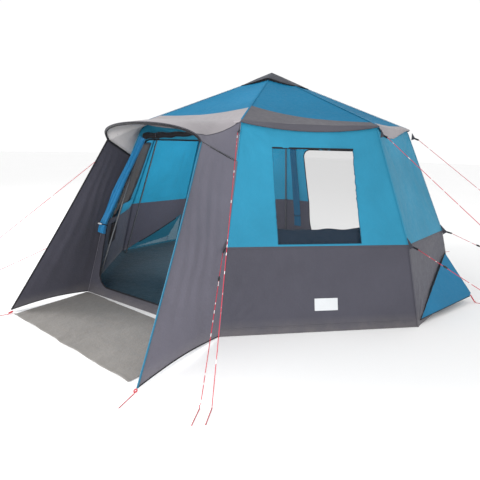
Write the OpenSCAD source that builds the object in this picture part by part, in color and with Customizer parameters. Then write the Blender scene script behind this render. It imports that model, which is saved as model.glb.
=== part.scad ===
// Octagonal quick-up family tent, standing pitched: folding hub frame, fabric walls, fly roof and porch.
// Millimetres, +Z up. The origin is on the ground at the middle of the floor. The front door faces -Y.

/* [Plan] */
// Half the depth, middle of the floor to the front door's wall
half_depth = 1836; // [1700:5:1900]
// Half the width, middle of the floor to a narrow side wall
half_width = 1986; // [1850:5:2050]
// Half the length of the front and rear walls on the ground
door_half = 860; // [800:5:900]
// Half the length of the narrow side walls on the ground
side_half = 550; // [500:5:600]

/* [Heights] */
// Height of the seam between the grey lower wall and the blue upper wall
knee_h = 683; // [650:1:720]
// Height of the eave
eave_h = 1660; // [1600:5:1700]
// Height of the roof fabric where it meets the hub
crown_h = 2205; // [2180:5:2230]
// Size of the wall ring at the knee, as a share of the ground ring
knee_ratio = 0.9185; // [0.9:0.001:0.94]
// Size of the wall ring at the eave, as a share of the ground ring
eave_ratio = 0.712; // [0.7:0.001:0.72]

/* [Openings] */
// Width of a window
window_w = 720; // [600:10:800]
// Height of a window along the wall
window_h = 840; // [700:10:880]
// Half width of the front door at its foot
door_opening_half = 730; // [650:5:760]
// Half width of the rear door
rear_opening_half = 500; // [400:5:520]
// How far the rear door sits to the left, seen from behind the tent
rear_shift = -100; // [-110:5:0]
// Height of the door sill
sill_h = 90; // [60:5:120]
// Height of the top of the vent triangles along the wall
vent_top = 450; // [400:10:500]

/* [Fabric] */
// Thickness of a fabric skin
skin = 4; // [3:0.5:5]
// Thickness of the porch mat
mat_t = 3; // [2:0.5:4]

/* [Frame] */
// Outer radius of the leg and roof tubes
tube_r = 9.5; // [8:0.5:11]
// Wall of the tubes
tube_wall = 1; // [0.8:0.1:1.2]
// Running clearance between the telescopic tubes, on the radius
tube_gap = 0.3; // [0.2:0.05:0.5]
// Length of the upper leg tube
upper_leg_l = 960; // [900:10:1000]
// Length of the lower leg tube
lower_leg_l = 900; // [800:10:950]

/* [Porch] */
// Half the distance between the two ends of the awning pole
awning_half = 585; // [550:5:620]
// Distance from the middle of the tent to the ends of the awning pole
awning_y = 1760; // [1720:5:1800]
// Height of the ends of the awning pole
awning_z = 1490; // [1450:5:1520]
// Rise of the awning pole at its middle
awning_rise = 145; // [120:5:170]
// Reach of the awning pole at its middle, past its ends
awning_reach = 150; // [100:5:180]

/* [Hidden] */

blue = [0.16, 0.46, 0.64];
grey = [0.33, 0.33, 0.37];
light = [0.70, 0.68, 0.70];
dark = [0.16, 0.16, 0.18];
red = [0.78, 0.10, 0.20];
steel = [0.45, 0.46, 0.48];
mesh_grey = [0.10, 0.11, 0.12];

// Corners of the ground ring, counter-clockwise from the left end of the front wall.
RING = [[-door_half, -half_depth], [door_half, -half_depth], [half_width, -side_half],
        [half_width, side_half], [door_half, half_depth], [-door_half, half_depth],
        [-half_width, side_half], [-half_width, -side_half]];
FRONT = 0;
FRONT_RIGHT = 1;
RIGHT = 2;
REAR_RIGHT = 3;
REAR = 4;
REAR_LEFT = 5;
LEFT = 6;
FRONT_LEFT = 7;
// Share of the ring that a skin takes up, inwards.
skin_ratio = skin / half_depth;

function corner(i) = RING[i % 8];
function ring_point(i, r, z) = [corner(i)[0] * r, corner(i)[1] * r, z];
function edge(i) = corner(i + 1) - corner(i);
function edge_angle(i) = atan2(edge(i)[1], edge(i)[0]);
function apothem(i) = cross(corner(i), corner(i + 1)) / norm(edge(i));
function unit(v) = v / norm(v);
function wall_ratio(z) = z < knee_h ? 1 + (knee_ratio - 1) * z / knee_h
    : knee_ratio + (eave_ratio - knee_ratio) * (z - knee_h) / (eave_h - knee_h);

// Box with mitred ends between two rings, on one side of the octagon.
module ring_slab(i, r0, z0, r1, z1, t = skin_ratio) {
    polyhedron(
        points = [ring_point(i, r0, z0), ring_point(i + 1, r0, z0),
                  ring_point(i + 1, r1, z1), ring_point(i, r1, z1),
                  ring_point(i, r0 - t, z0), ring_point(i + 1, r0 - t, z0),
                  ring_point(i + 1, r1 - t, z1), ring_point(i, r1 - t, z1)],
        faces = [[0, 3, 2, 1], [4, 5, 6, 7], [0, 1, 5, 4], [3, 7, 6, 2], [0, 4, 7, 3], [1, 2, 6, 5]]);
}

// Puts its children on a wall: X along the wall, Y up its slope, Z outwards, zero at the foot's middle.
module on_wall(i, r0, z0, r1, z1) {
    middle = (corner(i) + corner(i + 1)) / 2 * r0;
    lean = atan2((r0 - r1) * apothem(i), z1 - z0);
    translate([middle[0], middle[1], z0]) rotate([90 - lean, 0, edge_angle(i)]) children();
}
module on_lower(i) { on_wall(i, 1, 0, knee_ratio, knee_h) children(); }
module on_upper(i) { on_wall(i, knee_ratio, knee_h, eave_ratio, eave_h) children(); }

// Sheet over a fan of triangles, thickened by the vector off.
module fan_sheet(p, off) {
    n = len(p);
    polyhedron(
        points = concat(p, [for (q = p) q + off]),
        faces = concat(
            [for (k = [1:n - 2]) [0, k, k + 1]],
            [for (k = [1:n - 2]) [n, n + k + 1, n + k]],
            [for (k = [0:n - 1]) [k, n + k, (k + 1) % n]],
            [for (k = [0:n - 1]) [n + k, n + (k + 1) % n, (k + 1) % n]]));
}

// Round bar from a to b.
module bar(a, b, r, sides = 24) {
    v = b - a;
    translate(a) rotate([0, acos(v[2] / norm(v)), atan2(v[1], v[0])])
        cylinder(h = norm(v), r = r, $fn = sides);
}
module tube(a, b, r, wall) {
    v = b - a;
    translate(a) rotate([0, acos(v[2] / norm(v)), atan2(v[1], v[0])]) difference() {
        cylinder(h = norm(v), r = r, $fn = 32);
        translate([0, 0, -1]) cylinder(h = norm(v) + 2, r = r - wall, $fn = 32);
    }
}

// ---- Ground side ----

module floor() {
    color(grey) linear_extrude(skin) polygon([for (c = RING) c * 0.9965]);
}

module lower_wall(i) {
    color(grey) difference() {
        ring_slab(i, 1, 0, knee_ratio, knee_h);
        if (i == FRONT) door_cut_low(i, door_opening_half);
        if (i == REAR) door_cut_low(i, rear_opening_half, rear_shift);
        if (i == RIGHT || i == LEFT) on_lower(i) mirror([i == LEFT ? 1 : 0, 0, 0])
            translate([0, 0, -20]) linear_extrude(40) vent_outline();
    }
}

module upper_wall(i) {
    color(blue) difference() {
        ring_slab(i, knee_ratio, knee_h, eave_ratio, eave_h);
        if (i == FRONT) door_cut_high(i, door_opening_half, 560, 885);
        if (i == REAR)
            door_cut_high(i, rear_opening_half, rear_opening_half - 30, 820, rear_shift);
        if (i % 2 == 1) on_upper(i) translate([-window_w / 2, 15, -20])
            cube([window_w, window_h - 15, 40]);
    }
}

// Foot of a door: rounded at both lower corners and open at the top.
module door_cut_low(i, half, shift = 0) {
    round_r = 160;
    on_lower(i) translate([shift, 0, -20]) linear_extrude(40) hull() {
        for (s = [-1, 1]) translate([s * (half - round_r), sill_h + round_r]) circle(round_r, $fn = 32);
        translate([-half, 600]) square([2 * half, 120]);
    }
}
// Head of a door: the sides lean with the wall's own edges.
module door_cut_high(i, half, top_half, top, shift = 0) {
    round_r = 120;
    on_upper(i) translate([shift, 0, -20]) linear_extrude(40) hull() {
        translate([-half, -15]) square([2 * half, 20]);
        for (s = [-1, 1]) translate([s * (top_half - round_r), top - round_r]) circle(round_r, $fn = 32);
    }
}

// Right-angled triangle low in a side wall, high towards the rear.
vent_x = 470;
vent_foot = 40;
module vent_outline(grow = 0) {
    polygon([[-vent_x - 2 * grow, vent_foot - grow], [vent_x + grow, vent_foot - grow],
             [vent_x + grow, vent_top + grow]]);
}

module front_door() {
    // Blue door leaf, gathered and tied back beside the left corner.
    color(blue) {
        bar([-545, -1404, 1490], [-650, -1567, 1080], 24);
        bar([-652, -1570, 1078], [-735, -1722, 690], 28);
    }
}
module rear_door() {
    color(blue) {
        bar([-430, 1315, 1440], [-455, 1475, 1060], 24);
        bar([-455, 1477, 1056], [-480, 1620, 690], 30);
    }
}

module window_meshes() {
    color(mesh_grey) for (i = [1, 3, 5, 7]) on_upper(i)
        translate([-window_w / 2 - 20, 0, -skin - 5]) cube([window_w + 40, window_h + 20, 2]);
}
module window_curtains() {
    // Inner curtains, folded down on the sill.
    color(blue) for (i = [1, 3, 5, 7]) on_upper(i)
        translate([-window_w / 2 - 10, 5, -skin - 32]) cube([window_w + 20, 150, 24]);
}
module vent_meshes() {
    color(mesh_grey) for (i = [RIGHT, LEFT]) on_lower(i) mirror([i == LEFT ? 1 : 0, 0, 0])
        translate([0, 0, -skin - 4]) linear_extrude(2) vent_outline(12);
}

// Porch: two walls from the corner seams of the front wall out to the porch pegs.
// The right one is pegged further out than the left one.
PORCH_FOOT_RIGHT = [1015, -2775, 12];
PORCH_FOOT_LEFT = [820, -2610, 12];
porch_tip = [awning_half + 2, -awning_y, awning_z - 22];
porch_top_z = 1320;
porch_proud = 1.006;
module porch_wall(foot) {
    p = [foot,
         porch_tip,
         ring_point(1, wall_ratio(porch_top_z) * porch_proud, porch_top_z),
         ring_point(1, knee_ratio * porch_proud, knee_h),
         ring_point(1, porch_proud, 3)];
    color(grey) fan_sheet(p, [-skin, 0, 0]);
}
module porch_wall_right() { porch_wall(PORCH_FOOT_RIGHT); }
module porch_wall_left() { mirror([1, 0, 0]) porch_wall(PORCH_FOOT_LEFT); }
module porch_mat() {
    color(light) linear_extrude(mat_t)
        polygon([[-850, -1855], [850, -1855], [900, -2745], [-770, -2625]]);
}

module storage_pocket() {
    // Mesh pocket inside the front left lower wall.
    color(mesh_grey) on_lower(FRONT_LEFT) translate([80, 400, -skin - 30]) cube([320, 230, 26]);
}
module door_mesh_roll() {
    // Rolled mesh door under the eave, inside the front wall.
    color(mesh_grey) on_upper(FRONT) translate([-480, 925, -34]) rotate([0, 90, 0])
        cylinder(h = 900, r = 24, $fn = 32);
}

// Guy points: patches at the eave and at the knee of every corner.
eave_patch_top = 1645;
eave_patch_low = 1570;
knee_patch_top = 745;
knee_patch_low = 640;
eave_guy_z = (eave_patch_top + eave_patch_low) / 2 - 34;
knee_guy_z = (knee_patch_top + knee_patch_low) / 2 - 34;
function outward(i) = unit(corner(i));
function eave_guy(i) = concat(corner(i) * 0.726 + outward(i) * 90, [eave_guy_z]);
function knee_guy(i) = concat(corner(i) * knee_ratio + outward(i) * 95, [knee_guy_z]);
module patch(i, r, z_top, z_low, tip, start = 8) {
    side = [-outward(i)[1], outward(i)[0], 0] * 3;
    a = ring_point(i, r, z_top) + [outward(i)[0], outward(i)[1], 0] * start;
    b = ring_point(i, wall_ratio(z_low), z_low) + [outward(i)[0], outward(i)[1], 0] * start;
    fan_sheet([a - side / 2, b - side / 2, tip + [0, 0, 4] - side / 2], side);
}
module eave_patches() {
    color(dark) for (i = [0:7]) patch(i, 0.7335, eave_patch_top, eave_patch_low, eave_guy(i));
}
module knee_patches() {
    color(dark) for (i = [0:7])
        // The two front ones start further out, clear of the porch walls.
        patch(i, wall_ratio(knee_patch_top), knee_patch_top, knee_patch_low, knee_guy(i), i < 2 ? 32 : 8);
}

// Pegs on the ground around the tent, hook end towards the tent.
GUY_PEGS = [[-1490, -3190], [1490, -2630], [3650, -1010], [3500, 980],
            [1290, 2740], [-1290, 2740], [-2950, 820], [-2950, -820]];
KNEE_PEGS = [[-1490, -3190], [1440, -2680], [3650, -1010], [3500, 980],
             [1290, 2740], [-1290, 2740], [-2950, 820], [-2950, -820]];
OTHER_PEGS = [[1440, -2680], [1035, -2815], [-800, -2665], [2212, 500], [-2212, 500]];
cord_r = 1.25;
loop_z = 12;
peg_r = 2.5;
module guy_line(from, peg) {
    a = unit(from - [peg[0], peg[1], loop_z]);
    bar([peg[0], peg[1], loop_z] + a * 12, from + a * -2, cord_r, 16);
}
module eave_guy_lines() {
    color(red) for (i = [0:7]) guy_line(eave_guy(i), GUY_PEGS[i]);
}
module knee_guy_lines() {
    color(red) for (i = [0:7]) guy_line(knee_guy(i), KNEE_PEGS[i] * 0.992);
}
module guy_runners() {
    // Tension sliders, threaded on the knee guy lines.
    color(dark) for (i = [0:7]) {
        from = knee_guy(i);
        to = [KNEE_PEGS[i][0] * 0.992, KNEE_PEGS[i][1] * 0.992, loop_z];
        a = unit(to - from);
        tube(from + a * 250, from + a * 290, 5, 3.5);
    }
}
module peg(p, azimuth) {
    // Round wire, hooked at the tent end, lying on the ground.
    translate([p[0], p[1], peg_r]) rotate([0, 0, azimuth]) {
        rotate([0, 90, 0]) cylinder(h = 170, r = peg_r, $fn = 16);
        cylinder(h = 20, r = peg_r, $fn = 16);
        sphere(r = peg_r, $fn = 16);
    }
}
module pegs() {
    color(red) for (p = concat(GUY_PEGS, OTHER_PEGS))
        peg(p, atan2(p[1], p[0]));
}
module peg_loops() {
    // Webbing loops from the porch walls and vent flaps to their pegs.
    color(red) {
        bar([1020, -2786, 9], [1031, -2804, 9], 3, 16);
        bar([-815, -2623, 9], [-805, -2652, 9], 3, 16);
        for (s = [-1, 1]) bar([s * 2169, 474, 80], [s * 2203, 497, 12], 3, 16);
    }
}

// Blue flap over a side vent, sewn along the vent's sloping edge and pegged out.
flap_open = 26;
flap_depth = 430;
module vent_flap(i) {
    seam_a = [-vent_x - 22, vent_foot + 4];
    seam_b = [vent_x + 14, vent_top + 26];
    slope = atan2(seam_b[1] - seam_a[1], seam_b[0] - seam_a[0]);
    span = norm(seam_b - seam_a);
    color(blue) on_lower(i) mirror([i == LEFT ? 1 : 0, 0, 0])
        translate([seam_a[0], seam_a[1], 3]) rotate([0, 0, slope]) rotate([-flap_open, 0, 0])
            linear_extrude(3) polygon([[12, -3], [span - 6, -3],
                [span * 0.845, -flap_depth], [span * 0.8, -flap_depth]]);
}
module vent_flap_right() { vent_flap(RIGHT); }
module vent_flap_left() { vent_flap(LEFT); }

// ---- Roof side, which lowers as the legs telescope ----

elbow_z = 1640;
elbow_ratio = 0.70;
hub_z = 2150;
hub_r = 62;
foot_z = skin + 0.4;
foot_ratio = 0.965;
function elbow(i) = ring_point(i, elbow_ratio, elbow_z);
function foot(i) = ring_point(i, foot_ratio, foot_z);

function arm_root(i) = concat(outward(i) * (hub_r + 1), [hub_z]);
function arm_way(i) = unit(elbow(i) - arm_root(i));
function arm_start(i) = arm_root(i) + arm_way(i) * 3;
module hub() {
    // Eight lugs carry the arms, and the bore takes the centre post.
    color(dark) difference() {
        union() {
            for (i = [0:7])
                bar(concat(outward(i) * (hub_r - 14), [hub_z]), arm_start(i) - arm_way(i) * 0.1, 8, 32);
            translate([0, 0, hub_z - 22]) cylinder(h = 44, r = hub_r, $fn = 64);
            translate([0, 0, hub_z + 22]) cylinder(h = 16, r1 = 40, r2 = 26, $fn = 64);
        }
        translate([0, 0, hub_z - 40]) cylinder(h = 100, r = 12, $fn = 48);
    }
}
module hub_collar() {
    // Centre post and pull ring, which lock the hub.
    color(red) {
        translate([0, 0, hub_z - 90]) cylinder(h = 110, r = 11.6, $fn = 48);
        translate([0, 0, hub_z - 102]) cylinder(h = 12, r = 32, $fn = 48);
    }
}
module roof_arms() {
    color(steel) for (i = [0:7]) {
        a = arm_way(i);
        tube(arm_start(i), elbow(i) - a * 26, tube_r, tube_wall);
    }
}
module elbow_brackets() {
    // Socket on the arm's end, two cheeks and the pin that the leg's eye turns on.
    color(dark) for (i = [0:7]) {
        a = arm_way(i);
        side = [-outward(i)[1], outward(i)[0], 0];
        bar(elbow(i) - a * 25.5, elbow(i) - a * 17, tube_r + 5, 32);
        for (s = [-1, 1])
            bar(elbow(i) + side * (s * 12 - 2.5), elbow(i) + side * (s * 12 + 2.5), 18, 32);
        bar(elbow(i) - side * 12, elbow(i) + side * 12, 3, 24);
    }
}

crown_ratio = 0.052;
hem_z = 1600;
module roof_canopy() {
    color(blue) for (i = [0:7]) ring_slab(i, 0.722, eave_h + 12, crown_ratio, crown_h, skin_ratio * 2.2);
    color(light) for (i = [0:7]) ring_slab(i, 0.7335, hem_z, 0.722, eave_h + 12);
}
// Rim of the cowl: how far it reaches over each ridge, short and lifted over two of them.
CAP_REACH = [0.18, 0.115, 0.19, 0.205, 0.18, 0.115, 0.18, 0.165];
function cap_ratio(i) = CAP_REACH[i];
function cap_lift(i) = i % 4 == 1 ? 26 : 12;
function roof_z(r) = eave_h + 12 + (0.722 - r) / (0.722 - crown_ratio) * (crown_h - eave_h - 12);
function cap_point(i) = ring_point(i, cap_ratio(i), roof_z(cap_ratio(i)) + cap_lift(i));
module vent_cap() {
    // Raised cowl over the crown, open below its rim.
    top = concat([[0, 0, 2272]], [for (i = [0:7]) cap_point(i)]);
    low = [for (q = top) q - [0, 0, skin]];
    color(dark) {
        polyhedron(points = concat(top, low), faces = concat(
            [for (i = [0:7]) [0, 1 + (i + 1) % 8, 1 + i]],
            [for (i = [0:7]) [9, 10 + i, 10 + (i + 1) % 8]],
            [for (i = [0:7]) [1 + i, 1 + (i + 1) % 8, 10 + (i + 1) % 8]],
            [for (i = [0:7]) [1 + i, 10 + (i + 1) % 8, 10 + i]]));
        translate([0, 0, hub_z + 38.5]) cylinder(h = 2264 - hub_z - 38.5, r = 10, $fn = 32);
    }
}

// Awning pole: a hoop from one front corner of the walls out to the other, bowed up and forwards.
hoop_end_z = 1345;
hoop_end = [corner(1)[0] * wall_ratio(hoop_end_z) + 10, corner(1)[1] * wall_ratio(hoop_end_z) - 22];
// Its two straight sides run from the walls to the porch tips, and its middle is an arch between the tips.
function arch(t) = [-awning_half * cos(t), -awning_y - awning_reach * sin(t),
                    awning_z + awning_rise * pow(sin(t), 0.75)];
function hoop_side(s, k) = [s * hoop_end[0], hoop_end[1], hoop_end_z] * (1 - k)
    + [s * awning_half, -awning_y, awning_z] * k;
arch_steps = 12;
HOOP = concat([for (k = [0:3]) hoop_side(-1, k / 4)],
              [for (k = [0:arch_steps]) arch(180 * k / arch_steps)],
              [for (k = [3:-1:0]) hoop_side(1, k / 4)]);
module awning() {
    n = len(HOOP) - 1;
    front = [for (q = HOOP) q + [0, 7, 3]];
    back = [for (k = [0:n]) [-604 + 1208 * k / n, -1356, 1690]];
    top = concat(front, back);
    low = [for (q = top) q - [0, 0, skin]];
    m = n + 1;
    color(light) polyhedron(points = concat(top, low), faces = concat(
        [for (k = [0:n - 1]) [k, m + k, m + k + 1]],
        [for (k = [0:n - 1]) [k, m + k + 1, k + 1]],
        [for (k = [0:n - 1]) [2 * m + k, 3 * m + k + 1, 3 * m + k]],
        [for (k = [0:n - 1]) [2 * m + k, 2 * m + k + 1, 3 * m + k + 1]],
        [for (k = [0:n - 1]) [k, k + 1, 2 * m + k + 1]],
        [for (k = [0:n - 1]) [k, 2 * m + k + 1, 2 * m + k]],
        [for (k = [0:n - 1]) [m + k, 3 * m + k + 1, m + k + 1]],
        [for (k = [0:n - 1]) [m + k, 3 * m + k, 3 * m + k + 1]],
        [[0, 2 * m, 3 * m], [0, 3 * m, m], [n, m + n, 3 * m + n], [n, 3 * m + n, 2 * m + n]]));
}
module awning_pole() {
    n = len(HOOP) - 1;
    sides = 10;
    r = 5;
    ring = function (k) let (
        d = unit(HOOP[min(n, k + 1)] - HOOP[max(0, k - 1)]),
        u = unit(cross(d, [0, 0, 1])),
        w = cross(d, u))
        [for (j = [0:sides - 1], a = [360 * j / sides])
            HOOP[k] - [0, 2, 6] + (u * cos(a) + w * sin(a)) * r];
    color(dark) polyhedron(
        points = [for (k = [0:n]) each ring(k)],
        faces = concat(
            [for (k = [0:n - 1], j = [0:sides - 1])
                [k * sides + j, (k + 1) * sides + j,
                 (k + 1) * sides + (j + 1) % sides, k * sides + (j + 1) % sides]],
            [[for (j = [0:sides - 1]) j]],
            [[for (j = [sides - 1:-1:0]) n * sides + j]]));
}

module upper_leg(i) {
    a = unit(foot(i) - elbow(i));
    color(steel) tube(elbow(i) + a * 20, elbow(i) + a * upper_leg_l, tube_r, tube_wall);
    // Eye that turns on the elbow pin.
    side = [-outward(i)[1], outward(i)[0], 0];
    color(dark) {
        difference() {
            union() {
                bar(elbow(i) - side * 8, elbow(i) + side * 8, 11, 32);
                bar(elbow(i) + a * 6, elbow(i) + a * 40, tube_r - 0.2, 32);
            }
            bar(elbow(i) - side * 20, elbow(i) + side * 20, 3.1, 32);
        }
    }
}
module lower_leg(i) {
    a = unit(foot(i) - elbow(i));
    reach = norm(foot(i) - elbow(i));
    r = tube_r - tube_wall - tube_gap;
    color(steel) tube(foot(i) - a * (lower_leg_l + 30), foot(i) - a * 30, r, tube_wall);
    // Ball foot, so that it rolls on the floor as the leg tilts.
    color(dark) hull() {
        translate(foot(i) + [0, 0, 12]) sphere(r = 12, $fn = 32);
        bar(foot(i) - a * 30, foot(i) - a * 26, 12, 32);
    }
}

floor();
front_door();
rear_door();
window_meshes();
window_curtains();
vent_meshes();
porch_wall_right();
porch_wall_left();
porch_mat();
storage_pocket();
door_mesh_roll();
knee_patches();
knee_guy_lines();
eave_guy_lines();
guy_runners();
pegs();
peg_loops();
vent_flap_right();
vent_flap_left();
hub();
hub_collar();
roof_arms();
elbow_brackets();
roof_canopy();
vent_cap();
awning();
awning_pole();
eave_patches();
WALLS = ["front", "front_right", "right", "rear_right", "rear", "rear_left", "left", "front_left"];
for (i = [0:7]) {
    lower_wall(i);
    upper_wall(i);
    upper_leg(i);
    lower_leg(i);
}
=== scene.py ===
import math

import bpy
from mathutils import Matrix, Vector, noise


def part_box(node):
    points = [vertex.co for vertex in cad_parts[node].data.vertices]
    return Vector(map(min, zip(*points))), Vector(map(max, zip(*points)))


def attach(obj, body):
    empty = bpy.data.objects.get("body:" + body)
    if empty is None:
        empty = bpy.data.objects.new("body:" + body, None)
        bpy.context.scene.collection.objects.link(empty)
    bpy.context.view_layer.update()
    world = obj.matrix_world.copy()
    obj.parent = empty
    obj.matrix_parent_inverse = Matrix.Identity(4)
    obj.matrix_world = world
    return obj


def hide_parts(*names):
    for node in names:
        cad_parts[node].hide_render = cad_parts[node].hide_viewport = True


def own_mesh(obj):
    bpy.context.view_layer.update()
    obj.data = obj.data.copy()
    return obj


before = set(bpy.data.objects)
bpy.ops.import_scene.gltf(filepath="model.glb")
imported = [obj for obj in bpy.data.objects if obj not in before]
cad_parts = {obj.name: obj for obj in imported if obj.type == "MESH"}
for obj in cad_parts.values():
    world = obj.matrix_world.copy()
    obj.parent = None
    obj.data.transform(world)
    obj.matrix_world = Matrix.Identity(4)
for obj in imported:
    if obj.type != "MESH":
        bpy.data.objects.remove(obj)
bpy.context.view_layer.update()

# ---------------------------------------------------------------- plan and levels, in metres
LOW_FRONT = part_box("lower_wall_front")
LOW_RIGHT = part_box("lower_wall_right")
DOOR_HALF = LOW_FRONT[1].x
HALF_DEPTH = -LOW_FRONT[0].y
HALF_WIDTH = LOW_RIGHT[1].x
SIDE_HALF = LOW_RIGHT[1].y
KNEE_Z = LOW_FRONT[1].z
EAVE_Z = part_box("upper_wall_front")[1].z
KNEE_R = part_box("upper_wall_front")[1].x / DOOR_HALF
EAVE_R = 0.712
ROOF_R = 0.722
ROOF_Z = EAVE_Z + 0.012
CROWN_R = 0.052
CROWN_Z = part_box("roof_canopy")[1].z
RING = [
    (-DOOR_HALF, -HALF_DEPTH), (DOOR_HALF, -HALF_DEPTH),
    (HALF_WIDTH, -SIDE_HALF), (HALF_WIDTH, SIDE_HALF),
    (DOOR_HALF, HALF_DEPTH), (-DOOR_HALF, HALF_DEPTH),
    (-HALF_WIDTH, SIDE_HALF), (-HALF_WIDTH, -SIDE_HALF),
]
SIDES = ["front", "front_right", "right", "rear_right", "rear", "rear_left", "left", "front_left"]
FRONT, FRONT_RIGHT, RIGHT, REAR_RIGHT, REAR, REAR_LEFT, LEFT, FRONT_LEFT = range(8)
WINDOW_SIDES = (FRONT_RIGHT, REAR_RIGHT, REAR_LEFT, FRONT_LEFT)

UP = Vector((0, 0, 1))
GROUND = "ground_side"
ROOF = "roof_side"
TALL = 1.66  # height at which a wall meets the roof
PORCH_TALL = 1.49  # the same for the porch walls, at the awning's tips


# ---------------------------------------------------------------- camera
LENS = 35.04
EYE = (3.077, -4.460, 1.464)
YAW, PITCH, ROLL = -0.6593, 0.1975, 0.027


def make_camera():
    """A standing person's low viewpoint, off the front right corner."""
    data = bpy.data.cameras.new("camera")
    data.lens = LENS
    data.sensor_width = 36.0
    data.clip_end = 200
    cam = bpy.data.objects.new("camera", data)
    bpy.context.scene.collection.objects.link(cam)
    forward = Vector((math.sin(YAW) * math.cos(PITCH), math.cos(YAW) * math.cos(PITCH), -math.sin(PITCH)))
    right = forward.cross(UP).normalized()
    turn = Matrix((right, right.cross(forward), -forward)).transposed() @ Matrix.Rotation(ROLL, 3, "Z")
    cam.matrix_world = Matrix.Translation(EYE) @ turn.to_4x4()
    bpy.context.scene.camera = cam


# ---------------------------------------------------------------- materials
class Look:
    """A material's node tree, with short calls for the nodes that these looks are made of."""

    def __init__(self, name):
        self.material = bpy.data.materials.new(name)
        self.material.use_nodes = True
        self.nodes = self.material.node_tree.nodes
        self.links = self.material.node_tree.links
        self.nodes.clear()
        out = self.nodes.new("ShaderNodeOutputMaterial")
        self.shader = self.nodes.new("ShaderNodeBsdfPrincipled")
        self.links.new(self.shader.outputs[0], out.inputs[0])
        self.where = self.nodes.new("ShaderNodeTexCoord").outputs["Object"]

    def feed(self, socket, value):
        """Links a socket to a node's output, or sets it to a number or a colour."""
        if isinstance(value, bpy.types.NodeSocket):
            self.links.new(value, socket)
        else:
            socket.default_value = (*value, 1) if isinstance(value, tuple) else value

    def node(self, kind, inputs, **settings):
        n = self.nodes.new("ShaderNode" + kind)
        for name, value in settings.items():
            setattr(n, name, value)
        for key, value in inputs.items():
            self.feed(n.inputs[key], value)
        return n.outputs

    def surface(self, **values):
        """Sets the shader's inputs; an underscore stands for a space in a name."""
        for name, value in values.items():
            self.feed(self.shader.inputs[name.replace("_", " ")], value)

    def noise(self, scale, detail=3.0, rough=0.5):
        inputs = {"Vector": self.where, "Scale": scale, "Detail": detail, "Roughness": rough}
        return self.node("TexNoise", inputs)["Fac"]

    def mix(self, factor, a, b):
        return self.node("Mix", {0: factor, 6: a, 7: b}, data_type="RGBA")[2]

    def combine(self, operation, a, b):
        return self.node("Math", {0: a, 1: b}, operation=operation)[0]

    def ramp(self, value, low, high, a=0.0, b=1.0):
        return self.node("MapRange", {"Value": value, "From Min": low, "From Max": high, "To Min": a, "To Max": b})[0]

    def bump(self, height, strength, distance, under=None):
        inputs = {"Strength": strength, "Distance": distance, "Height": height}
        if under is not None:
            inputs["Normal"] = under
        raised = self.node("Bump", inputs)[0]
        self.surface(Normal=raised)
        return raised

    def weave(self, pitch):
        """Height of a weave with that thread pitch: bands of waves along each axis, added up."""
        total = None
        for axis in "XYZ":
            inputs = {"Vector": self.where, "Scale": 0.314 / pitch, "Distortion": 0.4, "Detail": 0.0}
            wave = self.node("TexWave", inputs, bands_direction=axis)["Fac"]
            total = wave if total is None else self.combine("ADD", total, wave)
        return total


SHADE = 0.12  # how far a cloth's colour drifts
DUST_RGB = (0.32, 0.29, 0.25)


def fabric(name, colour, rough=0.55, sheen=0.15, pitch=0.004, crumple=0.35, dirt=0.0):
    """Coated woven polyester: soft colour drift, crumple, a weave, and dust at its foot."""
    look = Look(name)
    streak = look.noise(9.0, 5.0, 0.6)
    dark = tuple(c * (1 - SHADE) for c in colour)
    pale = tuple(min(1, c * (1 + SHADE * 0.8)) for c in colour)
    tint = look.mix(look.ramp(look.noise(1.7, 4.0), 0.32, 0.68), dark, pale)
    tint = look.mix(look.ramp(streak, 0.35, 0.75, 0.0, 0.35), tint, colour)
    if dirt:
        height = look.node("SeparateXYZ", {0: look.where})["Z"]
        low = look.ramp(height, 0.12, 0.0, 0.0, dirt)
        tint = look.mix(look.combine("MULTIPLY", low, streak), tint, DUST_RGB)
    wear = look.ramp(look.noise(30.0, 4.0), 0.3, 0.7, rough - 0.06, rough + 0.08)
    look.surface(Base_Color=tint, Roughness=wear, Specular_IOR_Level=0.22, Sheen_Weight=sheen, Sheen_Roughness=0.5)
    crumpled = look.bump(look.noise(6.5, 6.0, 0.62), crumple, 0.02)
    look.bump(look.weave(pitch), 0.12, 0.0004, crumpled)
    return look.material


def netting(name, colour, alpha):
    look = Look(name)
    tint = look.mix(look.noise(5.0), colour, tuple(c * 1.5 for c in colour))
    look.surface(Base_Color=tint, Roughness=0.75, Alpha=alpha)
    look.bump(look.weave(0.002), 0.3, 0.0005)
    return look.material


def solid(name, colour, rough, metal=0.0):
    """Moulded plastic or painted metal with a fine grain and worn, paler spots."""
    look = Look(name)
    grain = look.noise(60.0, 6.0, 0.6)
    spots = look.ramp(look.noise(14.0, 8.0, 0.7), 0.55, 0.75, 0.0, 0.4)
    pale = tuple(min(1, c * 1.25 + 0.03) for c in colour)
    wear = look.ramp(grain, 0.3, 0.7, rough - 0.05, rough + 0.1)
    look.surface(Base_Color=look.mix(spots, colour, pale), Roughness=wear, Metallic=metal)
    look.bump(grain, 0.15, 0.0006)
    return look.material


def flecked_cord(name, colour, fleck):
    """Braided guy line with pale reflective flecks."""
    look = Look(name)
    cells = look.node("TexVoronoi", {"Vector": look.where, "Scale": 20.0})["Distance"]
    look.surface(Base_Color=look.mix(look.ramp(cells, 0.32, 0.24), colour, fleck), Roughness=0.7)
    look.bump(look.noise(700.0, 1.0), 0.5, 0.0006)
    return look.material


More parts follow.
